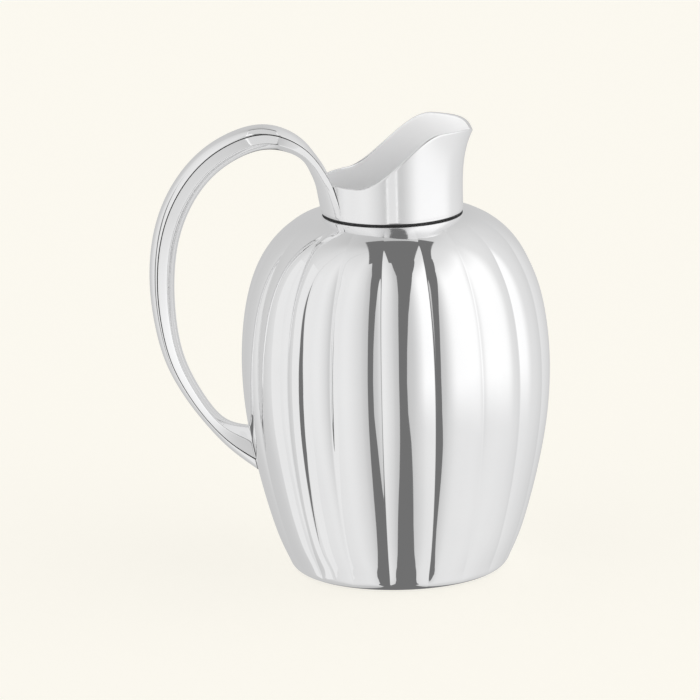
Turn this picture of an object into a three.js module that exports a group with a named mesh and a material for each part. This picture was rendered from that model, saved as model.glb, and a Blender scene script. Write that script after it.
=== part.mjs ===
// Polished steel water pitcher: a fluted, melon-shaped body, a collar whose rim
// rises into a spout, and a hollow loop handle from the collar down to the body.
// Millimetres, +Z up. The origin is the centre of the underside, the spout points
// to +X and the handle lies over -X.
import * as THREE from 'three';
import { mergeVertices } from 'three/addons/utils/BufferGeometryUtils.js';

// ---- driving dimensions ----------------------------------------------------
const WALL = 1.2;                 // sheet metal
const GAP = 0.3;                  // clearance between neighbouring pieces

// body
const FLUTES = 18;                // convex lobes, a valley faces the spout
const FLUTE_STEPS = 4;            // facets across one lobe
const FLANGE_RADIUS = 40;         // hole in the bottom of the body
const ROLL_START = 44.5;          // where the flat foot turns into the base roll
const ROLL_RADIUS = 8;
const ROLL_TURN = 66;             // degrees from the floor to the side
const NECK_HOLE = 31.9;
const SHOULDER_TOP = 170.7;
// crest outline above the base roll: [radius, height]
const BODY_OUTLINE = [
  [55.8, 13.5], [60.5, 27], [66.1, 48], [70.7, 72], [72.5, 96],
  [71.1, 119.5], [66.4, 140], [58.6, 155], [48, 165.4], [39.2, 169.8], [33.4, SHOULDER_TOP],
];
const BODY_ROWS = 15;
const ROLL_ROWS = 3;
// tilt, in degrees, that a lobe's edge adds to the plain round surface
const TILT_LOW = 9.5;
const TILT_HIGH = 17;

// base plate
const PLATE_LIP_RADIUS = 43.5;
const PLATE_THICKNESS = 1.5;

// collar, seal and sleeve
const COLLAR_RADIUS = 33.1;
const SEAL_BOTTOM = SHOULDER_TOP + GAP;
const SEAL_TOP = SEAL_BOTTOM + 0.5;
const SEAL_RADIUS = 32.7;
const COLLAR_BOTTOM = SEAL_TOP + GAP;
const SLEEVE_BOTTOM = 164;
const SLEEVE_TOP = 175;
const RIM_LOW = 187.5;            // rim height round the handle
const RIM_HIGH = 212.2;           // rim height beside the spout
const RIM_RISE_FROM = 125;        // degrees from the spout where the rim starts to rise
const RIM_RISE_TO = 50;
const TIP_DIP = 3;                // the rim dips at the tip of the spout
const TIP_DIP_WIDTH = 18;
const FLARE = 5.2;                // how far the spout leans out at its tip
const FLARE_FROM = 176;
const FLARE_TO = 209;
const FLARE_POWER = 3.2;          // the lean is held back to the top of the spout
const COLLAR_STEPS = 72;
const COLLAR_ROWS = 6;

// handle: stations from the collar round to the body. outer and inner are the two
// edges of the loop in the X-Z plane, half is half the width across.
const HANDLE_STATIONS = [
  { outer: [-33.4, RIM_LOW + GAP], inner: [-37.2, RIM_LOW + GAP], half: 17.5 },
  { outer: [-34.8, 195.2], inner: [-38.9, 192.6], half: 13.5 },
  { outer: [-38.8, 203.8], inner: [-44.0, 198.7], half: 9.4 },
  { outer: [-46.2, 210.2], inner: [-50.6, 201.6], half: 7.6 },
  { outer: [-58.6, 214.5], inner: [-59.2, 202.5], half: 6.6 },
  { outer: [-75.0, 211.2], inner: [-70.0, 199.6], half: 6.4 },
  { outer: [-90.7, 201.5], inner: [-82.1, 191.9], half: 6.4 },
  { outer: [-102.8, 187.0], inner: [-92.0, 180.2], half: 6.4 },
  { outer: [-110.8, 169.0], inner: [-99.0, 165.0], half: 6.4 },
  { outer: [-114.4, 143.0], inner: [-102.7, 143.0], half: 6.4 },
  { outer: [-112.6, 121.3], inner: [-102.3, 122.5], half: 6.1 },
  { outer: [-107.6, 101.8], inner: [-99.0, 105.0], half: 5.8 },
  { outer: [-100.2, 87.0], inner: [-93.0, 91.2], half: 5.5 },
  { outer: [-90.0, 72.4], inner: [-83.8, 77.4], half: 5.5 },
  { outer: [-79.6, 60.4], inner: [-77.2, 73.0], half: 5.8 },
  { outer: [-67.9, 50.4], inner: [-72.0, 71.4], half: 6.2 },
];
const HANDLE_ROWS = 34;
const SEAM = 0.66;                // the two handle shells meet this far in from the outer edge
const WIDEST = 0.33;              // the section is widest here
// a tongue of the inner shell lies against the collar from the seal to the rim
const TONGUE_BOTTOM = COLLAR_BOTTOM + 0.2;
const TONGUE_TOP = RIM_LOW - 1.5;
const TONGUE_RADIUS = COLLAR_RADIUS + GAP + 0.15;
const TONGUE_BULGE = 2.2;         // the middle of its top stands this far off the collar wall
const TONGUE_ANGLE_LOW = 42;      // half angle at the seal
const TONGUE_ANGLE_HIGH = 31;     // half angle at the rim
const TONGUE_ROWS = 4;
const WRAP_END = 0.2;             // share of the handle that still curves round the collar
const FOOT_THICKNESS = 1;         // plate that closes the handle and carries the weld
const FOOT_MARGIN = 0.6;
const FOOT_ROWS = 8;
const FOOT_SINK = 0.3;            // how far the plate sits below the crests of the body

// ---- helpers ---------------------------------------------------------------
const radians = THREE.MathUtils.degToRad;
const clampedStep = THREE.MathUtils.smoothstep;
const lerp = THREE.MathUtils.lerp;

// A thick sheet: two grids of points, front and back, joined round their edges.
// With wraps the columns close into a ring.
function thickSheet(front, back, rows, columns, wraps) {
  const points = [];
  const faces = [];
  const across = wraps ? columns : columns + 1;
  for (const side of [front, back]) {
    for (let row = 0; row <= rows; row += 1) {
      for (let column = 0; column < across; column += 1) {
        points.push(...side(row, column));
      }
    }
  }
  const half = (rows + 1) * across;
  const at = (side, row, column) => side * half + row * across + (column % across);
  const quad = (a, b, c, d) => faces.push(a, b, c, a, c, d);
  for (let row = 0; row < rows; row += 1) {
    for (let column = 0; column < columns; column += 1) {
      quad(at(0, row, column), at(0, row, column + 1), at(0, row + 1, column + 1), at(0, row + 1, column));
      quad(at(1, row, column), at(1, row + 1, column), at(1, row + 1, column + 1), at(1, row, column + 1));
    }
  }
  for (let column = 0; column < columns; column += 1) {
    quad(at(0, 0, column), at(1, 0, column), at(1, 0, column + 1), at(0, 0, column + 1));
    quad(at(0, rows, column), at(0, rows, column + 1), at(1, rows, column + 1), at(1, rows, column));
  }
  if (!wraps) {
    for (let row = 0; row < rows; row += 1) {
      quad(at(0, row, 0), at(0, row + 1, 0), at(1, row + 1, 0), at(1, row, 0));
      quad(at(0, row, columns), at(1, row, columns), at(1, row + 1, columns), at(0, row + 1, columns));
    }
  }
  const geometry = new THREE.BufferGeometry();
  geometry.setAttribute('position', new THREE.Float32BufferAttribute(points, 3));
  geometry.setIndex(faces);
  return geometry;
}

// A turned ring or disc from a closed outline of [radius, height] points.
function turned(outline, steps) {
  const points = [...outline, outline[0]].map(([radius, height]) => new THREE.Vector2(radius, height));
  const geometry = new THREE.LatheGeometry(points, steps);
  geometry.deleteAttribute('normal');
  geometry.deleteAttribute('uv');
  geometry.rotateX(Math.PI / 2);
  return mergeVertices(geometry, 1e-4);
}

// ---- body ------------------------------------------------------------------
// Crest outline of the body from the foot to the neck, with its outward normal.
function bodyOutline() {
  const rollEnd = radians(ROLL_TURN);
  const centre = [ROLL_START, ROLL_RADIUS];
  const rows = [{ radius: FLANGE_RADIUS, height: 0, out: [0, -1] }];
  for (let step = 0; step <= ROLL_ROWS; step += 1) {
    const turn = (rollEnd * step) / ROLL_ROWS;
    const out = [Math.sin(turn), -Math.cos(turn)];
    rows.push({ radius: centre[0] + ROLL_RADIUS * out[0], height: centre[1] + ROLL_RADIUS * out[1], out });
  }
  const last = rows[rows.length - 1];
  const side = [[last.radius, last.height], ...BODY_OUTLINE];
  const corners = side.map(([radius, height]) => new THREE.Vector3(radius, 0, height));
  const curve = new THREE.CatmullRomCurve3(corners);
  for (let step = 1; step <= BODY_ROWS; step += 1) {
    const point = curve.getPointAt(step / BODY_ROWS);
    const tangent = curve.getTangentAt(step / BODY_ROWS);
    rows.push({ radius: point.x, height: point.z, out: [tangent.z, -tangent.x] });
  }
  rows.push({ radius: NECK_HOLE, height: SHOULDER_TOP, out: [0, 1] });
  return rows;
}

// Edge tilt of the lobes: none on the foot and at the neck, strongest above the middle.
function fluteTilt(radius, height) {
  const belly = clampedStep(height, 25, 95) * (1 - 0.55 * clampedStep(height, 135, 165));
  const tilt = lerp(TILT_LOW, TILT_HIGH, belly);
  return tilt * clampedStep(height, 1, 8) * (height > 100 ? clampedStep(radius, 34, 42) : 1);
}

// Radius of a lobed section at an angle, for a given crest radius: each lobe is an arc.
function lobedRadius(crest, tilt, angle) {
  const half = Math.PI / FLUTES;
  const fromCrest = ((angle / half) % 2) * half - half;
  const pull = Math.sin(radians(tilt)) / Math.sin(half);
  const arc = crest / (1 + pull);
  const centre = crest - arc;
  return centre * Math.cos(fromCrest) + Math.sqrt(arc ** 2 - (centre * Math.sin(fromCrest)) ** 2);
}

function bodyShell() {
  const outline = bodyOutline();
  const columns = FLUTES * FLUTE_STEPS;
  const place = (inset) => (row, column) => {
    const { radius, height, out } = outline[row];
    const angle = (2 * Math.PI * column) / columns;
    const lobed = lobedRadius(radius, fluteTilt(radius, height), angle) - inset * out[0];
    return [lobed * Math.cos(angle), lobed * Math.sin(angle), height - inset * out[1]];
  };
  return thickSheet(place(0), place(WALL), outline.length - 1, columns, true);
}

function basePlate() {
  const lipBottom = WALL + GAP;
  return turned([
    [0, 0], [FLANGE_RADIUS - GAP, 0], [FLANGE_RADIUS - GAP, lipBottom], [PLATE_LIP_RADIUS, lipBottom],
    [PLATE_LIP_RADIUS, lipBottom + PLATE_THICKNESS], [0, lipBottom + PLATE_THICKNESS],
  ], 48);
}

// ---- neck and collar -------------------------------------------------------
function ringOutline(inside, outside, bottom, top) {
  return [[inside, bottom], [outside, bottom], [outside, top], [inside, top]];
}

function neckSleeve() {
  const outside = NECK_HOLE - GAP;
  return turned(ringOutline(outside - WALL, outside, SLEEVE_BOTTOM, SLEEVE_TOP), 48);
}

function neckSeal() {
  return turned(ringOutline(NECK_HOLE, SEAL_RADIUS, SEAL_BOTTOM, SEAL_TOP), 48);
}

// Height of the rim at an angle in degrees from the spout.
function rimHeight(degrees) {
  const away = Math.abs(degrees);
  const rise = 1 - clampedStep(away, RIM_RISE_TO, RIM_RISE_FROM);
  return lerp(RIM_LOW, RIM_HIGH, rise) - TIP_DIP * Math.exp(-((away / TIP_DIP_WIDTH) ** 2));
}

function collarRadius(degrees, height) {
  const towardSpout = Math.max(0, Math.cos(radians(degrees))) ** 3;
  const up = Math.max(0, (height - FLARE_FROM) / (FLARE_TO - FLARE_FROM));
  return COLLAR_RADIUS + FLARE * towardSpout * up ** FLARE_POWER;
}

function spoutCollar() {
  const place = (inset) => (row, column) => {
    const degrees = (360 * column) / COLLAR_STEPS - 180;
    const height = lerp(COLLAR_BOTTOM, rimHeight(degrees), row / COLLAR_ROWS);
    const radius = collarRadius(degrees, height) - inset;
    return [radius * Math.cos(radians(degrees)), radius * Math.sin(radians(degrees)), height];
  };
  return thickSheet(place(0), place(WALL), COLLAR_ROWS, COLLAR_STEPS, true);
}

// ---- handle ----------------------------------------------------------------
const handleCurve = (edge) => new THREE.CatmullRomCurve3(
  HANDLE_STATIONS.map((station) => new THREE.Vector3(station[edge][0], station.half, station[edge][1])),
);
const outerEdge = handleCurve('outer');
const innerEdge = handleCurve('inner');

// Half width of the section at a share of its depth, 0 at the outer edge, 1 at the inner.
function sectionWidth(depth) {
  if (depth <= WIDEST) {
    return Math.sqrt(1 - (1 - depth / WIDEST) ** 2);
  }
  return Math.sqrt(1 - ((depth - WIDEST) / (1 - WIDEST)) ** 2);
}

// A point of the handle's skin at a share along the loop, at a depth and on one side.
// Near the collar the section curves round it.
function handlePoint(along, depth, side, inset) {
  const outer = outerEdge.getPoint(along);
  const inner = innerEdge.getPoint(along);
  const thickness = Math.hypot(outer.x - inner.x, outer.z - inner.z);
  const innermost = 0.5 - inset / thickness;
  const shrunk = 0.5 + (depth - 0.5) * (innermost / 0.5);
  const reach = sectionWidth(depth) * Math.max(outer.y - inset, 0.4) * side;
  const wrap = 1 - clampedStep(along, 0, WRAP_END);
  const bend = wrap * (TONGUE_RADIUS - Math.sqrt(TONGUE_RADIUS ** 2 - reach ** 2));
  return [lerp(outer.x, inner.x, shrunk) + bend, reach, lerp(outer.z, inner.z, shrunk)];
}

const OUTER_COLUMNS = [
  [SEAM, -1], [WIDEST, -1], [0.1, -1], [0, 0], [0.1, 1], [WIDEST, 1], [SEAM, 1],
];
const INNER_COLUMNS = [
  [SEAM + 0.04, 1], [0.8, 1], [0.9, 1], [0.97, 1], [1, 0],
  [0.97, -1], [0.9, -1], [0.8, -1], [SEAM + 0.04, -1],
];

function handleOuterShell() {
  const place = (inset) => (row, column) => {
    const [depth, side] = OUTER_COLUMNS[column];
    return handlePoint(row / HANDLE_ROWS, depth, side, inset);
  };
  return thickSheet(place(0), place(WALL), HANDLE_ROWS, OUTER_COLUMNS.length - 1, false);
}

// A point of the tongue: up is 0 at the seal and 1 at the rim, across runs from 1 to -1.
function tonguePoint(up, across, inset) {
  const halfAngle = lerp(TONGUE_ANGLE_LOW, TONGUE_ANGLE_HIGH, up);
  const bulge = TONGUE_BULGE * up * (1 - across ** 2);
  const radius = TONGUE_RADIUS + (inset ? 0 : WALL + bulge);
  const angle = radians(180 - across * halfAngle);
  return [radius * Math.cos(angle), radius * Math.sin(angle), lerp(TONGUE_BOTTOM, TONGUE_TOP, up)];
}

function handleInnerShell() {
  const last = INNER_COLUMNS.length - 1;
  const place = (inset) => (row, column) => {
    if (row < TONGUE_ROWS) {
      return tonguePoint(row / (TONGUE_ROWS - 1), 1 - (2 * column) / last, inset);
    }
    const [depth, side] = INNER_COLUMNS[column];
    return handlePoint((row - TONGUE_ROWS) / HANDLE_ROWS, depth, side, inset);
  };
  return thickSheet(place(0), place(WALL), HANDLE_ROWS + TONGUE_ROWS, last, false);
}

// Plate between the lower end of the handle and the body, shaped to both.
function handleFoot() {
  const { outer, inner } = HANDLE_STATIONS[HANDLE_STATIONS.length - 1];
  const half = HANDLE_STATIONS[HANDLE_STATIONS.length - 1].half + FOOT_MARGIN;
  const outline = bodyOutline();
  const crestAt = (height) => {
    const above = outline.findIndex((point) => point.height > height);
    const [low, high] = [outline[above - 1], outline[above]];
    return lerp(low.radius, high.radius, (height - low.height) / (high.height - low.height));
  };
  const place = (standOff) => (row, column) => {
    const depth = row / FOOT_ROWS;
    const height = lerp(outer[1] - FOOT_MARGIN, inner[1] + FOOT_MARGIN, depth);
    const edge = lerp(0.35, 1, sectionWidth(depth));
    const across = (column - 1) * half * edge;
    return [-(crestAt(height) + standOff), across, height];
  };
  return thickSheet(place(-FOOT_SINK), place(FOOT_THICKNESS - FOOT_SINK), FOOT_ROWS, 2, false);
}

// ---- assembly --------------------------------------------------------------
const surface = (color, roughness, metalness) => (
  new THREE.MeshStandardMaterial({ color, roughness, metalness })
);
const polishedSteel = () => surface(0xd9dadb, 0.06, 1);
const plainSteel = () => surface(0xb9babb, 0.3, 1);
const darkSeal = () => surface(0x2b2b2d, 0.6, 0);

const group = new THREE.Group();
function add(name, geometry, material) {
  const mesh = new THREE.Mesh(geometry, material);
  mesh.name = name;
  group.add(mesh);
}

add('body_shell', bodyShell(), polishedSteel());
add('base_plate', basePlate(), plainSteel());
add('neck_sleeve', neckSleeve(), plainSteel());
add('neck_seal', neckSeal(), darkSeal());
add('spout_collar', spoutCollar(), polishedSteel());
add('handle_outer_shell', handleOuterShell(), polishedSteel());
add('handle_inner_shell', handleInnerShell(), polishedSteel());
add('handle_foot', handleFoot(), polishedSteel());

export default group;
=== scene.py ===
"""Polished steel water pitcher: its fine surface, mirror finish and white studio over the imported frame."""
import math

import bpy
import numpy as np
from mathutils import Matrix, Vector


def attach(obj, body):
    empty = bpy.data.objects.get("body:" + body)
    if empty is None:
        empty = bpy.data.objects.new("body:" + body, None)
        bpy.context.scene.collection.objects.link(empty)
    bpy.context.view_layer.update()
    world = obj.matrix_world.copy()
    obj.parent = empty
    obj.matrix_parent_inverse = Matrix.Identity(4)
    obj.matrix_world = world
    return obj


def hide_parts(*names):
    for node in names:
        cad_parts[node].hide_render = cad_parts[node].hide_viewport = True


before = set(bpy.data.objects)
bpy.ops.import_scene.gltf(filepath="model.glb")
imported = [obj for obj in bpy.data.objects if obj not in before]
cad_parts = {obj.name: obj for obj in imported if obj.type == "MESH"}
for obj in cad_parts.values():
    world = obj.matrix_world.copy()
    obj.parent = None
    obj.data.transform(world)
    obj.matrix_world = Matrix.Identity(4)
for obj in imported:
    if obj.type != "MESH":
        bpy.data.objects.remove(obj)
scene = bpy.context.scene
MM = 0.001

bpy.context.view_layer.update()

# ---- dimensions in millimetres ---------------------------------------------
WALL = 1.2
FLUTES = 18
FLUTE = 2 * math.pi / FLUTES
FLUTE_DEGREES = 360 // FLUTES
VALLEY_ROUND = math.radians(0.22)     # how far the bottom of a valley is rounded
FOOT_RINGS = (40.0, 40.3, 42.5)       # radii of the flat ring it stands on, from its hole outwards
ROLL_START = 44.5
ROLL_RADIUS = 8.0
ROLL_TURN = math.radians(66)
SHOULDER_TOP = 170.7
NECK_RINGS = (32.6, 32.05)            # radii of the flat ring round the neck's hole, inwards
BODY_OUTLINE = [
    (55.8, 13.5), (60.5, 27), (66.1, 48), (70.7, 72), (72.5, 96), (71.1, 119.5),
    (66.4, 140), (58.6, 155), (48, 165.4), (39.2, 169.8), (33.4, SHOULDER_TOP),
]
TILT_LOW = 12.5                       # how far a lobe's edge leans, near the foot
TILT_HIGH = 22.3                      # and at the belly
TILT_START = (1, 8)                   # heights between which the lobes begin
TILT_GROWTH = (25, 95)                # between which their lean grows
TILT_FADE = (148, 166)                # and between which it loses a share on the shoulder
TILT_LOSS = 0.7
SHOULDER_FROM = 100                   # height above which the lobes also die out towards the neck
NECK_FADE = (34, 42)                  # between these radii, from none to full
# share of the lean that grows evenly from the crest; the rest grows by the cube
EVEN_SHARE = 0.52
COLLAR_RADIUS = 33.1
COLLAR_BOTTOM = 171.55
RIM_LOW = 187.5
RIM_HIGH = 212.2
RIM_RISE_FROM = 125.0
RIM_RISE_TO = 50.0
TIP_DIP = 3.0
TIP_DIP_WIDTH = 18.0
FLARE = 5.2
FLARE_FROM = 176.0
FLARE_TO = 209.0
FLARE_POWER = 3.2
SPOUT_POWER = 3                       # how closely the flare keeps to the spout's side
COLLAR_STEPS = 200
COLLAR_OUTER_ROWS = 34
COLLAR_INNER_ROWS = 22
RIM_ROWS = 9
COLLAR_FOOT = [(0, 0.18), (0.012, 0.05), (0.03, 0.0)]   # softened lower edge: share of height, cut in
COLLAR_EVEN_FROM = 0.06               # share of the height where the evenly spaced rows begin


# ---- small helpers -----------------------------------------------------------
def smoothstep(x, low, high):
    t = np.clip((np.asarray(x, float) - low) / (high - low), 0, 1)
    return t * t * (3 - 2 * t)


def mix(a, b, t):
    return a + (b - a) * t


def spline(points, start=None, end=None):
    """A smooth curve through points by chord length. Returns a function of a share from 0 to 1,
    giving the points and their derivatives. start and end fix the end directions."""
    points = np.array(points, float)
    knots = np.concatenate([[0], np.cumsum(np.linalg.norm(np.diff(points, axis=0), axis=1))])
    step = np.diff(knots)
    count = len(points)
    a = np.zeros((count, count))
    b = np.zeros_like(points)
    for i in range(1, count - 1):
        a[i, i - 1] = step[i]
        a[i, i] = 2 * (step[i - 1] + step[i])
        a[i, i + 1] = step[i - 1]
        b[i] = 3 * (step[i] * (points[i] - points[i - 1]) / step[i - 1]
                    + step[i - 1] * (points[i + 1] - points[i]) / step[i])
    for row, side, fixed in ((0, 1, start), (count - 1, count - 2, end)):
        a[row, row] = 1
        if fixed is None:
            a[row, side] = 0.5
            rise = (points[side] - points[row]) / (knots[side] - knots[row])
            b[row] = 1.5 * rise
        else:
            b[row] = np.array(fixed, float) / np.linalg.norm(fixed)
    slopes = np.linalg.solve(a, b)

    def evaluate(share):
        at = np.clip(np.asarray(share, float), 0, 1) * knots[-1]
        i = np.clip(np.searchsorted(knots, at, side="right") - 1, 0, count - 2)
        h = step[i][:, None]
        t = ((at - knots[i]) / step[i])[:, None]
        p0, p1, m0, m1 = points[i], points[i + 1], slopes[i], slopes[i + 1]
        value = ((1 + 2 * t) * (1 - t) ** 2 * p0 + t * (1 - t) ** 2 * h * m0
                 + t * t * (3 - 2 * t) * p1 + t * t * (t - 1) * h * m1)
        slope = (6 * t * (t - 1) * (p0 - p1) / h + (1 - t) * (1 - 3 * t) * m0 + t * (3 * t - 2) * m1)
        return value, slope

    return evaluate


def ring_mesh(name, grid, joined):
    """A smooth mesh from rings of points (rings, points, 3) in millimetres. Where joined is true the
    last ring meets the first, otherwise both ends are capped."""
    rows, columns = grid.shape[:2]
    points = grid.reshape(-1, 3) * MM
    index = np.arange(rows * columns).reshape(rows, columns)
    below = index if joined else index[:-1]
    above = np.roll(index, -1, axis=0) if joined else index[1:]
    faces = [below, np.roll(below, -1, axis=1), np.roll(above, -1, axis=1), above]
    faces = np.stack(faces, axis=-1).reshape(-1, 4).tolist()
    points = [tuple(p) for p in points]
    ends = [] if joined else [(index[0], True), (index[-1], False)]
    for ring, flip in ends:
        middle = len(points)
        points.append(tuple(np.mean([points[i] for i in ring], axis=0)))
        for a, b in zip(ring, np.roll(ring, -1)):
            faces.append((int(b), int(a), middle) if flip else (int(a), int(b), middle))
    mesh = bpy.data.meshes.new(name)
    mesh.from_pydata(points, [], faces)
    mesh.validate()
    mesh.shade_smooth()
    mesh.update()
    obj = bpy.data.objects.new(name, mesh)
    scene.collection.objects.link(obj)
    return obj


def turned(name, outline, steps):
    """A closed outline of (radius, height) turned round the Z axis."""
    angle = np.linspace(0, 2 * math.pi, steps, endpoint=False)
    outline = np.array(outline, float)
    radius, height = outline[:, :1], outline[:, 1:]
    level = np.broadcast_to(height, (len(outline), steps))
    grid = np.stack([radius * np.cos(angle), radius * np.sin(angle), level], -1)
    return ring_mesh(name, grid, joined=True)


def band(inner, outer, low, high):
    """Corners of the section of a plain ring."""
    return [(inner, low), (outer, low), (outer, high), (inner, high)]


def rounded(corners, radius, steps):
    """A closed outline with each corner cut to an arc of about that radius."""
    most = 0.45                       # of the side's length
    result = []
    corners = [np.array(c, float) for c in corners]
    for i, corner in enumerate(corners):
        back = corners[i - 1] - corner
        ahead = corners[(i + 1) % len(corners)] - corner
        cut = min(radius, most * np.linalg.norm(back), most * np.linalg.norm(ahead))
        start = corner + back / np.linalg.norm(back) * cut
        end = corner + ahead / np.linalg.norm(ahead) * cut
        for t in np.linspace(0, 1, steps + 1):
            result.append((1 - t) ** 2 * start + 2 * t * (1 - t) * corner + t * t * end)
    return result


# ---- body ----------------------------------------------------------------------
ROLL_ROWS = 14
SIDE_ROWS = 84
INNER_ROWS = 24
# angles from a valley towards the crest, in degrees: closest together where the wall turns sharply
VALLEY_ANGLES = [0, 0.1, 0.22, 0.4, 0.65, 1.0, 1.5, 2.3, 3.5, 5, 7.2]


def body_outline():
    """Outer crest outline from the foot to the neck: points and outward normals."""
    turn = np.linspace(0, ROLL_TURN, ROLL_ROWS)
    out = np.stack([np.sin(turn), -np.cos(turn)], -1)
    roll = np.array([ROLL_START, ROLL_RADIUS]) + ROLL_RADIUS * out
    side = spline([roll[-1]] + BODY_OUTLINE, start=(math.cos(ROLL_TURN), math.sin(ROLL_TURN)), end=(-1, 0.0))
    points, slope = side(np.linspace(0, 1, SIDE_ROWS)[1:])
    slope /= np.linalg.norm(slope, axis=1)[:, None]
    normals = np.stack([slope[:, 1], -slope[:, 0]], -1)
    foot = [[radius, 0] for radius in FOOT_RINGS]
    neck = [[radius, SHOULDER_TOP] for radius in NECK_RINGS]
    points = np.concatenate([foot, roll, points, neck])
    normals = np.concatenate([[[0, -1]] * len(foot), out, normals, [[0, 1]] * len(neck)])
    return points, normals


def flute_tilt(radius, height):
    """Lean of a lobe's edges: none on the foot and at the neck, strongest from the belly to the shoulder."""
    tilt = mix(TILT_LOW, TILT_HIGH, smoothstep(height, *TILT_GROWTH)) * smoothstep(height, *TILT_START)
    tilt *= 1 - TILT_LOSS * smoothstep(height, *TILT_FADE)
    return np.radians(tilt * np.where(height > SHOULDER_FROM, smoothstep(radius, *NECK_FADE), 1.0))


def lobed_radius(crest, tilt, angle):
    """Radius of the fluted wall, where a lobe leans by tilt at its edges and not at all at its crest."""
    half = FLUTE / 2
    off_valley = half - np.abs((angle % FLUTE) - half)
    softened = np.sqrt(off_valley ** 2 + VALLEY_ROUND ** 2) - VALLEY_ROUND
    softened /= math.sqrt(half ** 2 + VALLEY_ROUND ** 2) - VALLEY_ROUND
    from_crest = 1 - softened
    fall = EVEN_SHARE * from_crest ** 2 / 2 + (1 - EVEN_SHARE) * from_crest ** 4 / 4
    return crest * np.exp(-tilt * half * fall)


def body_angles():
    """Angles round the body, from valley to valley."""
    crest = FLUTE_DEGREES / 2
    lobe = VALLEY_ANGLES + [crest] + [FLUTE_DEGREES - a for a in VALLEY_ANGLES[:0:-1]]
    return np.radians([FLUTE_DEGREES * flute + a for flute in range(FLUTES) for a in lobe])


def body():
    outline, normals = body_outline()
    angle = body_angles()
    radius, height = outline[:, :1], outline[:, 1:]
    tilt = flute_tilt(radius, height)
    outer = lobed_radius(radius, tilt, angle[None, :])
    inner_rows = np.unique(np.linspace(0, len(outline) - 1, INNER_ROWS).astype(int))[::-1]
    inner = outer[inner_rows] - WALL * normals[inner_rows, :1]
    inner_height = outline[inner_rows, 1:] - WALL * normals[inner_rows, 1:]
    lobed = np.concatenate([outer, inner])
    level = np.concatenate([height, inner_height])
    grid = np.stack([lobed * np.cos(angle), lobed * np.sin(angle), np.broadcast_to(level, lobed.shape)], -1)
    return ring_mesh("body", grid, joined=True)


# ---- collar ---------------------------------------------------------------------
def rim_height(degrees):
    away = np.abs(degrees)
    rise = 1 - smoothstep(away, RIM_RISE_TO, RIM_RISE_FROM)
    return mix(RIM_LOW, RIM_HIGH, rise) - TIP_DIP * np.exp(-((away / TIP_DIP_WIDTH) ** 2))


def collar_radius(degrees, height):
    toward_spout = np.maximum(0, np.cos(np.radians(degrees))) ** SPOUT_POWER
    up = np.maximum(0, (height - FLARE_FROM) / (FLARE_TO - FLARE_FROM))
    return COLLAR_RADIUS + FLARE * toward_spout * up ** FLARE_POWER


def collar():
    degrees = np.linspace(-180, 180, COLLAR_STEPS, endpoint=False)
    angle = np.radians(degrees)
    edge = WALL / 2
    bead = rim_height(degrees) - edge     # where the rounded rim begins
    outer_rows = COLLAR_FOOT + [(share, 0.0) for share in np.linspace(COLLAR_EVEN_FROM, 1, COLLAR_OUTER_ROWS)]
    rim_turns = np.linspace(0, math.pi, RIM_ROWS)[1:-1]
    rows = [(mix(COLLAR_BOTTOM, bead, share), inset) for share, inset in outer_rows]
    for turn in rim_turns:
        rows.append((bead + edge * math.sin(turn), edge - edge * math.cos(turn)))
    for share in np.linspace(1, 0, COLLAR_INNER_ROWS):
        rows.append((mix(COLLAR_BOTTOM, bead, share), WALL))
    points = []
    for height, inset in rows:
        radius = collar_radius(degrees, height) - inset
        points.append(np.stack([radius * np.cos(angle), radius * np.sin(angle), height], -1))
    piece = ring_mesh("collar", np.array(points), joined=True)
    first_inner = len(outer_rows) + len(rim_turns)
    for face, polygon in enumerate(piece.data.polygons):
        polygon.material_index = int(face // COLLAR_STEPS >= first_inner)
    return piece


# ---- handle -----------------------------------------------------------------------
# stations from the seal up the back of the collar, over the top and down to the body:
# outer edge [X, Z], inner edge [X, Z], half width
HANDLE_STATIONS = [
    ((-32.7, 171.9), (-33.5, 171.9), 20.8),
    ((-32.7, 176.0), (-34.1, 176.0), 20.5),
    ((-32.7, 180.0), (-34.8, 180.0), 19.6),
    ((-32.6, 184.0), (-35.5, 184.0), 18.1),
    ((-32.3, 187.8), (-36.6, 187.6), 16.2),
    ((-32.6, 191.2), (-37.9, 190.6), 14.2),
    ((-34.0, 195.6), (-39.6, 194.2), 11.8),
    ((-38.8, 203.8), (-44.0, 198.9), 9.0),
    ((-46.2, 210.3), (-50.6, 201.7), 7.5),
    ((-58.6, 214.4), (-59.2, 202.6), 6.6),
    ((-75.0, 211.2), (-70.0, 199.6), 6.4),
    ((-90.7, 201.5), (-82.1, 191.9), 6.4),
    ((-102.8, 187.0), (-92.0, 180.2), 6.4),
    ((-110.8, 169.0), (-99.0, 165.0), 6.4),
    ((-114.4, 143.0), (-102.7, 143.0), 6.4),
    ((-112.6, 121.3), (-102.3, 122.5), 6.1),
    ((-107.6, 101.8), (-99.0, 105.0), 5.8),
    ((-100.2, 87.0), (-93.0, 91.2), 5.5),
    ((-90.0, 72.4), (-83.8, 77.4), 5.5),
    ((-79.6, 60.6), (-77.2, 72.8), 5.8),
    ((-65.6, 49.1), (-69.7, 71.0), 6.2),
]
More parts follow.
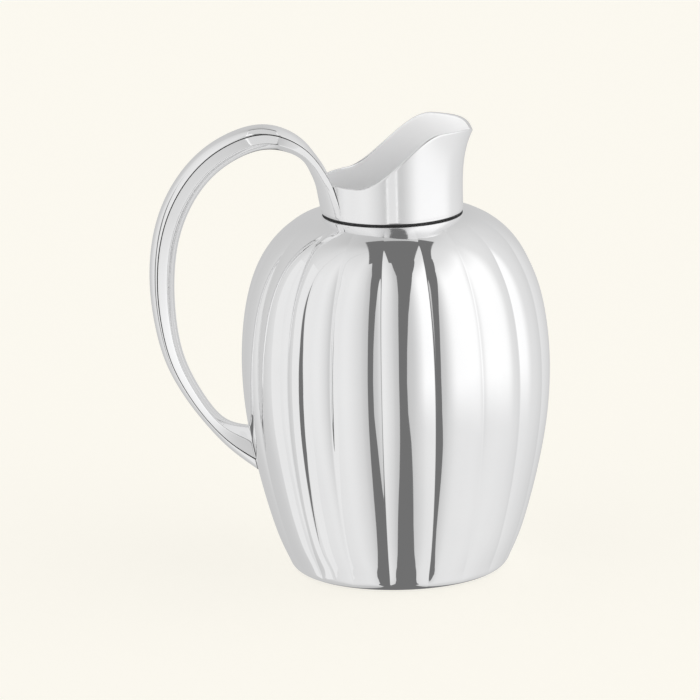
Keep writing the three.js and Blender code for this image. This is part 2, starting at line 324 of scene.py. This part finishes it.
# half of the section from the middle of the outer edge to the middle of the inner edge:
# share of the depth and share of the half width, with the dark line along the handle as a fine groove whose
# faces carry a near-black painted shade
SECTION = [
    (0.0, 0.25), (0.06, 0.62), (0.2, 0.92), (0.258, 0.995), (0.268, 1.005),
    (0.274, 0.945), (0.298, 0.945), (0.304, 1.012), (0.316, 1.006), (0.38, 0.98),
    (0.62, 0.87), (0.685, 0.83), (0.74, 0.74), (0.93, 0.42), (1.0, 0.16),
]
GROOVE = (5, 6)                       # which points of the section are the bottom of the groove; faces there get the near-black painted shade
SECTION_STEPS = 4
HANDLE_ROWS = 200
COLLAR_SKIN = COLLAR_RADIUS + 0.1     # the handle's upper end is bent round this radius
WRAP_FROM = 150                       # above this height
WRAP_FADE = (33.5, 52)                # and less and less between these distances from the axis
WRAP_REACH = 0.9                      # points further aside than this share of the radius bend no more


def section_loop():
    """The closed section, as (depth, side) points, and whether each one is in the groove."""
    half = np.array(SECTION)
    corners = np.concatenate([half, (half * [1, -1])[::-1]])
    loop = []
    groove = []
    for i in range(len(corners)):
        groove += [min(i, len(corners) - 1 - i) in GROOVE] * SECTION_STEPS
        before = (corners[i - 1] + corners[i]) / 2
        after = (corners[i] + corners[(i + 1) % len(corners)]) / 2
        for t in np.arange(SECTION_STEPS) / SECTION_STEPS:
            loop.append((1 - t) ** 2 * before + 2 * t * (1 - t) * corners[i] + t * t * after)
    return np.array(loop), groove


def handle():
    stations = [[ox, oz, ix, iz, half] for (ox, oz), (ix, iz), half in HANDLE_STATIONS]
    rows, _ = spline(stations)(np.linspace(0, 1, HANDLE_ROWS))
    loop, groove = section_loop()
    depth, side = loop[:, 0], loop[:, 1]
    ox, oz, ix, iz, half = (rows[:, i:i + 1] for i in range(5))
    reach = half * side
    wrap = np.where(oz > WRAP_FROM, 1 - smoothstep(-ox, *WRAP_FADE), 0.0)
    clipped = np.clip(np.abs(reach), 0, COLLAR_SKIN * WRAP_REACH)
    bend = wrap * (COLLAR_SKIN - np.sqrt(COLLAR_SKIN ** 2 - clipped ** 2))
    grid = np.stack([mix(ox, ix, depth) + bend, reach, mix(oz, iz, depth)], -1)
    piece = ring_mesh("handle", grid, joined=False)
    skin_faces = (HANDLE_ROWS - 1) * len(loop)
    for face, polygon in enumerate(piece.data.polygons):
        # faces along the groove take the near-black painted shade of the dark line
        polygon.material_index = int(face < skin_faces and groove[face % len(loop)])
    return piece


# ---- materials ---------------------------------------------------------------------
CLOUD_SPAN = (0.3, 0.7)               # the values of a noise that count as its lowest and its highest
MARKS_SPAN = (0.35, 0.7)


def new_material(name):
    material = bpy.data.materials.new(name)
    material.use_nodes = True
    tree = material.node_tree
    tree.nodes.clear()
    output = tree.nodes.new("ShaderNodeOutputMaterial")
    shader = tree.nodes.new("ShaderNodeBsdfPrincipled")
    tree.links.new(shader.outputs["BSDF"], output.inputs["Surface"])
    return material, tree, shader


def noise(tree, scale, detail, stretch=(1, 1, 1)):
    where = tree.nodes.new("ShaderNodeTexCoord")
    place = tree.nodes.new("ShaderNodeMapping")
    place.inputs["Scale"].default_value = stretch
    texture = tree.nodes.new("ShaderNodeTexNoise")
    texture.inputs["Scale"].default_value = scale
    texture.inputs["Detail"].default_value = detail
    tree.links.new(where.outputs["Object"], place.inputs["Vector"])
    tree.links.new(place.outputs["Vector"], texture.inputs["Vector"])
    return texture.outputs["Fac"]


def ramp(tree, source, low, high, low_value, high_value):
    node = tree.nodes.new("ShaderNodeMapRange")
    for key, value in (("From Min", low), ("From Max", high), ("To Min", low_value), ("To Max", high_value)):
        node.inputs[key].default_value = value
    tree.links.new(source, node.inputs["Value"])
    return node.outputs["Result"]


def colour_between(tree, source, dark, light):
    node = tree.nodes.new("ShaderNodeMix")
    node.data_type = "RGBA"
    node.inputs["A"].default_value = (*dark, 1)
    node.inputs["B"].default_value = (*light, 1)
    tree.links.new(source, node.inputs["Factor"])
    return node.outputs["Result"]


def bump(tree, source, strength, distance):
    node = tree.nodes.new("ShaderNodeBump")
    node.inputs["Strength"].default_value = strength
    node.inputs["Distance"].default_value = distance
    tree.links.new(source, node.inputs["Height"])
    return node.outputs["Normal"]


def metal(name, dark, light, rough, grain, stretch, relief, metallic=1.0):
    """Steel with faint cloudy tone, handling marks in the gloss and, where relief isn't 0, a very slight
    surface wave. rough is the lowest and the highest roughness."""
    material, tree, shader = new_material(name)
    shader.inputs["Metallic"].default_value = metallic
    cloud = ramp(tree, noise(tree, scale=22.0, detail=4.0), *CLOUD_SPAN, 0, 1)
    tree.links.new(colour_between(tree, cloud, dark, light), shader.inputs["Base Color"])
    marks = noise(tree, grain, detail=5.0, stretch=stretch)
    tree.links.new(ramp(tree, marks, *MARKS_SPAN, *rough), shader.inputs["Roughness"])
    if relief:
        wave = noise(tree, scale=55.0, detail=2.0)
        tree.links.new(bump(tree, wave, strength=0.25, distance=relief), shader.inputs["Normal"])
    return material


def rubber(name, dark, light):
    """Matt black with dust in it."""
    material, tree, shader = new_material(name)
    grime = noise(tree, scale=400, detail=3.0)
    tree.links.new(colour_between(tree, grime, dark, light), shader.inputs["Base Color"])
    tree.links.new(ramp(tree, grime, *CLOUD_SPAN, 0.45, 0.7), shader.inputs["Roughness"])
    tree.links.new(bump(tree, grime, strength=0.3, distance=0.00004), shader.inputs["Normal"])
    return material


def grey(level):
    return (level, level, level)


BRIGHT_STEEL = ((0.925, 0.925, 0.93), (0.955, 0.955, 0.955))
LINING_STEEL = ((0.93, 0.93, 0.935), (0.96, 0.96, 0.96))
EVEN = (1, 1, 1)
polished = metal("polished_steel", *BRIGHT_STEEL, (0.025, 0.055), 160, (1, 1, 0.35), 0.000008)
collar_polish = metal("collar_steel", *BRIGHT_STEEL, (0.12, 0.17), 160, (1, 1, 3), 0.0)
lining = metal("lining_steel", *LINING_STEEL, (0.42, 0.5), 200, EVEN, 0.00001, metallic=0.15)
# near-black steel for the handle's groove: painted shade standing in for the dark line along it
painted_groove_shade = metal("painted_groove_shade", grey(0.05), grey(0.10), (0.4, 0.5), 300, EVEN, 0.0)
satin = metal("satin_steel", (0.56, 0.56, 0.57), grey(0.66), (0.24, 0.36), 240, EVEN, 0.00002)
seal_material = rubber("dark_seal", (0.012, 0.012, 0.014), (0.03, 0.03, 0.032))


def finish(piece, materials, slot, *nodes):
    """Give a piece its materials, face by face as it was built, hang it on the root and hide the imported
    parts it stands in for.
    """
    faces = [polygon.material_index for polygon in piece.data.polygons]
    for material in materials:
        piece.data.materials.append(material)
    piece.data.polygons.foreach_set("material_index", faces)
    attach(piece, "root")
    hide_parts(*nodes)
    return piece


# ---- pieces ----------------------------------------------------------------------------
finish(body(), [polished], "polished_steel", "body_shell")
collar_piece = finish(collar(), [collar_polish, lining], "polished_steel", "spout_collar")
handle_piece = finish(
    handle(), [polished, painted_groove_shade], "polished_steel",
    "handle_outer_shell", "handle_inner_shell", "handle_foot",
)
seal_section = rounded(band(inner=31.95, outer=32.85, low=170.8, high=171.5), radius=0.15, steps=3)
finish(turned("seal", seal_section, steps=120), [seal_material], "dark_seal", "neck_seal")
sleeve_section = rounded(band(inner=30.4, outer=31.6, low=164, high=175), radius=0.4, steps=4)
finish(turned("sleeve", sleeve_section, steps=120), [satin], "plain_steel", "neck_sleeve")
# the plate's dished underside, the flat ring it stands on, and the lip over the body's foot
PLATE_OUTLINE = [
    (0.01, 0.9), (30, 0.6), (36.5, 0.0), (39.7, 0.0), (39.7, 1.5), (43.5, 1.5), (43.5, 3.0), (0.01, 3.0),
]
plate_section = rounded(PLATE_OUTLINE, radius=0.4, steps=3)
finish(turned("plate", plate_section, steps=96), [satin], "plain_steel", "base_plate")

# ---- camera ------------------------------------------------------------------------------
CAMERA_LENS = 346.5
CAMERA_PLACE = (-246.5, -3065.8, 840.6)          # in millimetres
CAMERA_FORWARD = (0.07123, 0.96994, -0.23268)
CAMERA_ROLL = 0.0233                             # how far the picture leans, as a slope
camera_data = bpy.data.cameras.new("camera")
camera_data.sensor_width = 36
camera_data.lens = CAMERA_LENS
camera_data.clip_start = 0.1
camera_data.clip_end = 100
camera = bpy.data.objects.new("camera", camera_data)
scene.collection.objects.link(camera)
forward = Vector(CAMERA_FORWARD).normalized()
right = forward.cross(Vector((0, 0, 1))).normalized()
up = right.cross(forward)
right, up = (right - CAMERA_ROLL * up).normalized(), (up + CAMERA_ROLL * right).normalized()
x, y, z = (c * MM for c in CAMERA_PLACE)
camera.matrix_world = Matrix((
    (right.x, up.x, -forward.x, x),
    (right.y, up.y, -forward.y, y),
    (right.z, up.z, -forward.z, z),
    (0, 0, 0, 1),
))
scene.camera = camera

# ---- studio --------------------------------------------------------------------------------
FLOOR_COLOUR = (0.956, 0.930, 0.855)
FLOOR_HALF = 12                       # metres
FLOOR_DROP = 0.0002                   # metres below the foot, so that the two share no plane
FLOOR_GLOW = 0.64
PAPER_DARK = 0.57                     # what the paper gives back of the light, as shares of its colour
PAPER_LIGHT = 0.575
floor_corners = [(x * FLOOR_HALF, y * FLOOR_HALF, 0) for x, y in ((-1, -1), (1, -1), (1, 1), (-1, 1))]
floor_data = bpy.data.meshes.new("floor")
floor_data.from_pydata(floor_corners, [], [(0, 1, 2, 3)])
floor = bpy.data.objects.new("floor", floor_data)
floor.location.z = -FLOOR_DROP
scene.collection.objects.link(floor)
floor_material, floor_tree, shader = new_material("floor")
paper = noise(floor_tree, scale=3.0, detail=2.0)
paper_dark = [c * PAPER_DARK for c in FLOOR_COLOUR]
paper_light = [c * PAPER_LIGHT for c in FLOOR_COLOUR]
floor_tree.links.new(colour_between(floor_tree, paper, paper_dark, paper_light), shader.inputs["Base Color"])
shader.inputs["Roughness"].default_value = 1.0
shader.inputs["Specular IOR Level"].default_value = 0.0
shader.inputs["Emission Color"].default_value = (*FLOOR_COLOUR, 1)
shader.inputs["Emission Strength"].default_value = FLOOR_GLOW
floor.data.materials.append(floor_material)
floor.visible_glossy = False
floor.visible_shadow = False


def linear(level):
    """Light level of a display grey from 0 to 255."""
    level = level / 255
    return level / 12.92 if level <= 0.04045 else ((level + 0.055) / 1.055) ** 2.4


# The studio is a white tent seen all round the pitcher. Azimuth is measured from the side the
# tent opens on, positive to the right of someone standing there and looking at the pitcher.
# Tones are display greys from 0 to 255, angles are in degrees.
TENT_OPENING = math.radians(-94.6)
TENT_STRENGTH = 1.06
EDGE = 0.5                            # half the width over which the dark shapes' edges are softened
# tone of the tent at an azimuth
TENT_TONES = [
    (-180, 198), (-150, 200), (-120, 208), (-100, 222), (-60, 231), (-40, 231), (-20, 213), (-10, 197),
    (0, 190), (10, 197), (20, 208), (40, 227), (66, 232), (90, 231), (110, 227), (135, 219), (155, 210),
    (180, 198),
]
# share of that tone at an elevation
TENT_HEIGHTS = [
    (-90, 0.62), (-78, 0.8), (-65, 0.93), (-40, 0.96), (-10, 1.0),
    (30, 1.02), (55, 0.96), (75, 0.86), (90, 0.8),
]
# dark opening of the tent: elevation, left and right edge azimuth
OPENING = [
    (-90, -60, 60), (-70, -40, 45), (-60, -21, 28), (-52, -15, 21), (-45, -11.5, 17), (-36, -8.5, 15),
    (-27, -7.3, 12.5), (-18, -7, 7.5), (-8, -7, 6.5), (2, -6.3, 8), (21, -5.5, 13), (36, -4.5, 20),
    (54, -7, 33), (66, -18, 52), (76, -34, 60), (90, -40, 60),
]
OPENING_TOP = 80.0
OPENING_TONE = 112
# where it reaches back over the pitcher: from left to right, and from before to behind the point overhead
OVERHEAD_SIDES = (-12.0, 18.0)
OVERHEAD_REACH = (-20.0, 16.0)
# and where it reaches on under the foot: from left to right, and beyond these turns from the point
# overhead, by the front and by the back
UNDERFOOT_SIDES = (-8.0, 10.0)
UNDERFOOT_FRONT = 164.0
UNDERFOOT_BACK = 120.0
# dark gap between two panels of the tent: elevation, azimuth of the middle, half width
GAP = [
    (-39, -98, 0), (-36.5, -94.5, 1.5), (-33, -90, 3), (-27.5, -85.5, 4.5), (-19.5, -82.5, 5.5),
    (-12, -80, 5), (-2, -79.5, 3.5), (13, -82, 2), (32, -84, 0),
]

# box light up on the right: where it starts, where it is full, where it weakens and where it ends
BOX_AZIMUTH = (18, 45, 92, 116)
BOX_ELEVATION = (-24, -8, 38, 64)
BOX_ADDS = 0.2

world = bpy.data.worlds.new("studio")
scene.world = world
world.use_nodes = True
sky = world.node_tree
sky.nodes.clear()


def math_node(operation, *values):
    node = sky.nodes.new("ShaderNodeMath")
    node.operation = operation
    for socket, value in zip(node.inputs, values):
        if isinstance(value, (int, float)):
            socket.default_value = value
        else:
            sky.links.new(value, socket)
    return node.outputs[0]


def add(a, b):
    return math_node("ADD", a, b)


def less(a, b):
    return math_node("SUBTRACT", a, b)


def times(a, b):
    return math_node("MULTIPLY", a, b)


def greater(a, b):
    return math_node("MAXIMUM", a, b)


def dot(vector, direction):
    node = sky.nodes.new("ShaderNodeVectorMath")
    node.operation = "DOT_PRODUCT"
    sky.links.new(vector, node.inputs[0])
    node.inputs[1].default_value = direction
    return node.outputs["Value"]


def table(source, pairs, low, high, smooth=True):
    """A value read off a table of (input, value) pairs, spanning low to high. Values below 0 are lost."""
    node = sky.nodes.new("ShaderNodeValToRGB")
    node.color_ramp.interpolation = "CARDINAL" if smooth else "LINEAR"
    stops = node.color_ramp.elements
    while len(stops) < len(pairs):
        stops.new(1.0)
    for stop, (at, value) in zip(stops, pairs):
        stop.position = (at - low) / (high - low)
        stop.color = (value, value, value, 1)
    sky.links.new(math_node("DIVIDE", less(source, low), high - low), node.inputs["Fac"])
    return node.outputs["Color"]


def outline_angle(rows, column, unit):
    """An angle read off one column of a table by elevation. It is kept as a share of unit, which has the
    sign of the column's angles."""
    pairs = [(row[0], row[column] / unit) for row in rows]
    return times(table(elevation, pairs, -90, 90, smooth=False), unit)


def step_node(value, low, high):
    """A soft step from 0 at low to 1 at high."""
    node = sky.nodes.new("ShaderNodeMapRange")
    node.interpolation_type = "SMOOTHSTEP"
    sky.links.new(value, node.inputs["Value"])
    for key, number in (("From Min", low), ("From Max", high), ("To Min", 0), ("To Max", 1)):
        node.inputs[key].default_value = number
    return node.outputs["Result"]


def above(value, limit):
    return step_node(less(value, limit), -EDGE, EDGE)


def below(value, limit):
    return step_node(less(limit, value), -EDGE, EDGE)


def within(value, low, high):
    return times(above(value, low), below(value, high))


def plateau(value, start, full, weaker, end):
    return times(step_node(value, start, full), less(1, step_node(value, weaker, end)))


where = sky.nodes.new("ShaderNodeTexCoord").outputs["Generated"]
ahead = dot(where, (math.cos(TENT_OPENING), math.sin(TENT_OPENING), 0))
aside = dot(where, (-math.sin(TENT_OPENING), math.cos(TENT_OPENING), 0))
upward = dot(where, (0, 0, 1))
azimuth = math_node("DEGREES", math_node("ARCTAN2", aside, ahead))
elevation = math_node("DEGREES", math_node("ARCSINE", math_node("MINIMUM", greater(upward, -1), 1)))
sideways = math_node("DEGREES", math_node("ARCSINE", aside))
overhead = math_node("DEGREES", math_node("ARCTAN2", times(ahead, -1), upward))

tone = table(azimuth, [(at, linear(grey_level)) for at, grey_level in TENT_TONES], -180, 180)
tone = times(tone, table(elevation, TENT_HEIGHTS, -90, 90))

left_edge = outline_angle(OPENING, column=1, unit=-180)
right_edge = outline_angle(OPENING, column=2, unit=180)
before = times(within(azimuth, left_edge, right_edge), below(elevation, OPENING_TOP))
over = times(within(sideways, *OVERHEAD_SIDES), within(overhead, *OVERHEAD_REACH))
underfoot = greater(above(overhead, UNDERFOOT_BACK), above(times(overhead, -1), UNDERFOOT_FRONT))
under = times(underfoot, within(sideways, *UNDERFOOT_SIDES))
gap_middle = outline_angle(GAP, column=1, unit=GAP[0][1])
gap_width = outline_angle(GAP, column=2, unit=10)
beside = below(math_node("ABSOLUTE", less(azimuth, gap_middle)), gap_width)
inside = greater(greater(greater(before, over), under), beside)

panels = less(1, inside)
box = times(plateau(azimuth, *BOX_AZIMUTH), plateau(elevation, *BOX_ELEVATION))
light = add(times(tone, panels), times(inside, linear(OPENING_TONE)))
light = add(light, times(times(box, panels), BOX_ADDS))

background = sky.nodes.new("ShaderNodeBackground")
sky.links.new(light, background.inputs["Color"])
background.inputs["Strength"].default_value = TENT_STRENGTH
backdrop = sky.nodes.new("ShaderNodeBackground")
backdrop.inputs["Color"].default_value = (*FLOOR_COLOUR, 1)
choose = sky.nodes.new("ShaderNodeMixShader")
output = sky.nodes.new("ShaderNodeOutputWorld")
sky.links.new(sky.nodes.new("ShaderNodeLightPath").outputs["Is Camera Ray"], choose.inputs["Fac"])
sky.links.new(background.outputs[0], choose.inputs[1])
sky.links.new(backdrop.outputs[0], choose.inputs[2])
sky.links.new(choose.outputs[0], output.inputs["Surface"])


# ---- lights that one piece alone sees ----------------------------------------------------------
LIGHT_CENTRE = Vector((0, 0, 0.19))   # the middle of the collar, in metres
# name, piece, azimuth, elevation, then in metres its distance, width and height, and its radiance.
# The two that aren't mirrored stay out of the polished steel and light only the matt lining.
OWN_LIGHTS = [
    ("collar_fill", collar_piece, 0, -13.5, 0.65, 0.19, 0.34, 0.62, True),
    ("mouth_light_right", collar_piece, 50, 56, 0.9, 0.5, 0.5, 5.0, False),
    ("mouth_light_left", collar_piece, -50, 60, 0.9, 0.5, 0.5, 4.0, False),
    ("handle_fill_low", handle_piece, -1, -38, 1.0, 0.345, 0.62, 0.55, True),
    ("handle_fill_high", handle_piece, 0, 78, 1.0, 0.56, 0.75, 0.5, True),
]


def own_light(name, piece, azimuth, elevation, distance, width, height, radiance, mirrored):
    """A soft panel that lights one piece and faces the middle of the collar."""
    turn = TENT_OPENING + math.radians(azimuth)
    rise = math.radians(elevation)
    flat = math.cos(rise)
    toward = Vector((flat * math.cos(turn), flat * math.sin(turn), math.sin(rise)))
    place = LIGHT_CENTRE + distance * toward
    data = bpy.data.lights.new(name, "AREA")
    data.shape = "RECTANGLE"
    data.size = width
    data.size_y = height
    data.energy = radiance * math.pi * width * height
    lamp = bpy.data.objects.new(name, data)
    lamp.location = place
    lamp.rotation_euler = (LIGHT_CENTRE - place).to_track_quat("-Z", "Y").to_euler()
    lamp.visible_camera = False
    lamp.visible_glossy = mirrored
    only = bpy.data.collections.new(name + "_sees")
    only.objects.link(piece)
    lamp.light_linking.receiver_collection = only
    scene.collection.objects.link(lamp)


for own_light_row in OWN_LIGHTS:
    own_light(*own_light_row)


# ---- two pale cards close by on the left, so that only one lobe sees the gap between the panels ----
CARD_TURN = TENT_OPENING - math.radians(80)
CARD_REACH = 112                      # how far out the cards stand, in millimetres
CARD_TONE = 231
# middle of the slit between the cards: height above the floor and distance aside, in millimetres
SLIT = [(-90, 10), (-6, 28), (17, 36), (39, 42.4), (66, 46.7), (90, 49.1), (117, 49.5), (149, 44), (215, 38)]
# name, and the card's two edges aside of the slit's middle
CARDS = [("near_card", -34, -6), ("far_card", 6, 28)]


def card_glow():
    """A surface that only glows, as brightly as the tent."""
    material, _, shader = new_material("pale_card")
    shader.inputs["Base Color"].default_value = (0, 0, 0, 1)
    shader.inputs["Specular IOR Level"].default_value = 0.0
    shader.inputs["Emission Color"].default_value = (1, 1, 1, 1)
    shader.inputs["Emission Strength"].default_value = linear(CARD_TONE) * TENT_STRENGTH
    return material


def pale_card(name, edges, material):
    outward = Vector((math.cos(CARD_TURN), math.sin(CARD_TURN), 0))
    across = Vector((-math.sin(CARD_TURN), math.cos(CARD_TURN), 0))
    corners = []
    for level, slit in SLIT:
        for edge in edges:
            corners.append((outward * CARD_REACH + across * (slit + edge) + Vector((0, 0, level))) * MM)
    strips = [(2 * i, 2 * i + 1, 2 * i + 3, 2 * i + 2) for i in range(len(SLIT) - 1)]
    data = bpy.data.meshes.new(name)
    data.from_pydata(corners, [], strips)
    data.materials.append(material)
    card = bpy.data.objects.new(name, data)
    card.visible_camera = False
    card.visible_shadow = False
    card.visible_diffuse = False
    scene.collection.objects.link(card)


card_material = card_glow()
for card_name, *card_edges in CARDS:
    pale_card(card_name, card_edges, card_material)

scene.view_settings.view_transform = "Standard"
scene.view_settings.look = "None"
